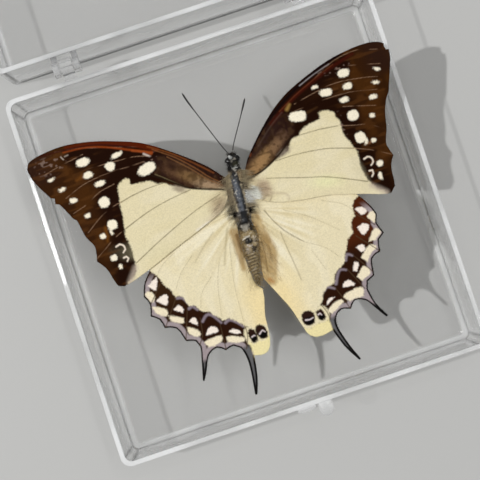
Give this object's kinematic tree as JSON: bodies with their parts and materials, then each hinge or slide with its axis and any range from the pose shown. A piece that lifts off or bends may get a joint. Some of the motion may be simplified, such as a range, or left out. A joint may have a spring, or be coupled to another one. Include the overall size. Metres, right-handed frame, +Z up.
{
  "type": "butterfly shadow box",
  "caption": "Clear plastic hinged display box, lid folded back, holding a spread butterfly with brown and cream wings on a clear post.",
  "frame": {"origin": "centre of the underside of the base tray", "axes": "+Y from the catch to the hinge and on along the open lid, +X to the specimen's right, +Z up out of the tray"},
  "size_m": [0.102, 0.219, 0.0359],
  "materials": {
    "clear_plastic": "clear moulded polystyrene, glossy",
    "clear_rod": "clear polished acrylic",
    "forewing_scales": "dark brown and cream scales, matt",
    "hindwing_scales": "cream scales with a brown and black border, matt",
    "body_fur": "dark hairy insect body",
    "antenna_horn": "black, satin"
  },
  "bodies": {
    "case": {"base_tray": "clear_plastic", "support_post": "clear_rod", "body": "body_fur", "left_forewing": "forewing_scales", "right_forewing": "forewing_scales", "left_hindwing": "hindwing_scales", "right_hindwing": "hindwing_scales", "left_antenna": "antenna_horn", "right_antenna": "antenna_horn"},
    "lid": {"lid": "clear_plastic"}
  },
  "joints": [
    {"name": "lid_hinge", "type": "hinge", "parent": "case", "child": "lid", "pos_m": [0, 0.0546, 0.02215], "axis": [1, 0, 0], "range_deg": [0, 180]}
  ]
}
